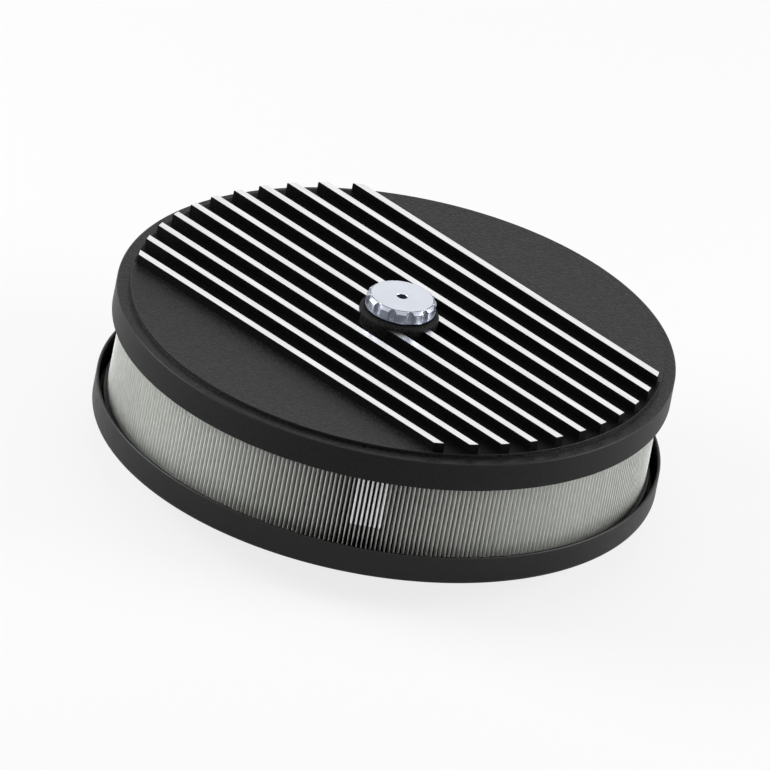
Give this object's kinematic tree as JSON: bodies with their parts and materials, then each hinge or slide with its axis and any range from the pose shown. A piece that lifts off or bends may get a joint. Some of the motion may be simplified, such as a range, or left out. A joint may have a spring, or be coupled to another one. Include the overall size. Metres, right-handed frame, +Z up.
{
  "type": "carburetor air cleaner",
  "caption": "Round dry-element carburetor air cleaner with a finned cast lid, a pleated paper element, a lobed knob and a shallow pan with a flared neck.",
  "frame": {"origin": "on the neck's axis, level with the neck's lower edge, which is the lowest edge of the part", "axes": "+Z up along the neck's axis towards the knob; +X along the lid's fins; +Y across the fins"},
  "size_m": [0.3588, 0.3588, 0.128],
  "materials": {
    "pan_black": "satin black coating on spun aluminium",
    "lid_black": "fine-textured satin black coating on cast aluminium, with bare machined fin tops",
    "cap_rubber": "satin moulded",
    "filter_paper": "matt resin-treated paper",
    "seal_rubber": "matt",
    "knob_metal": "satin polished"
  },
  "bodies": {
    "pan": {"base_pan": "pan_black"},
    "element": {"element_bottom_cap": "cap_rubber", "pleated_media": "filter_paper", "element_top_cap": "cap_rubber"},
    "cover": {"lid": "lid_black"},
    "washer": {"knob_seal": "seal_rubber"},
    "turning_knob": {"knob": "knob_metal"}
  },
  "joints": [
    {"name": "element_lift", "type": "slide", "parent": "pan", "child": "element", "axis": [0, 0, 1], "range_m": [0, 0.105]},
    {"name": "lid_lift", "type": "slide", "parent": "element", "child": "cover", "axis": [0, 0, 1], "range_m": [0, 0.07]},
    {"name": "knob_rise", "type": "slide", "parent": "cover", "child": "washer", "axis": [0, 0, 1], "range_m": [0, 0.00762]},
    {"name": "knob_turn", "type": "hinge", "parent": "washer", "child": "turning_knob", "pos_m": [0, 0, 0.1194], "axis": [0, 0, 1], "range_deg": [0, 2160]}
  ],
  "couplings": [
    {"joint": "knob_rise", "follows": "knob_turn", "m_per_rad": 0.00020213}
  ]
}
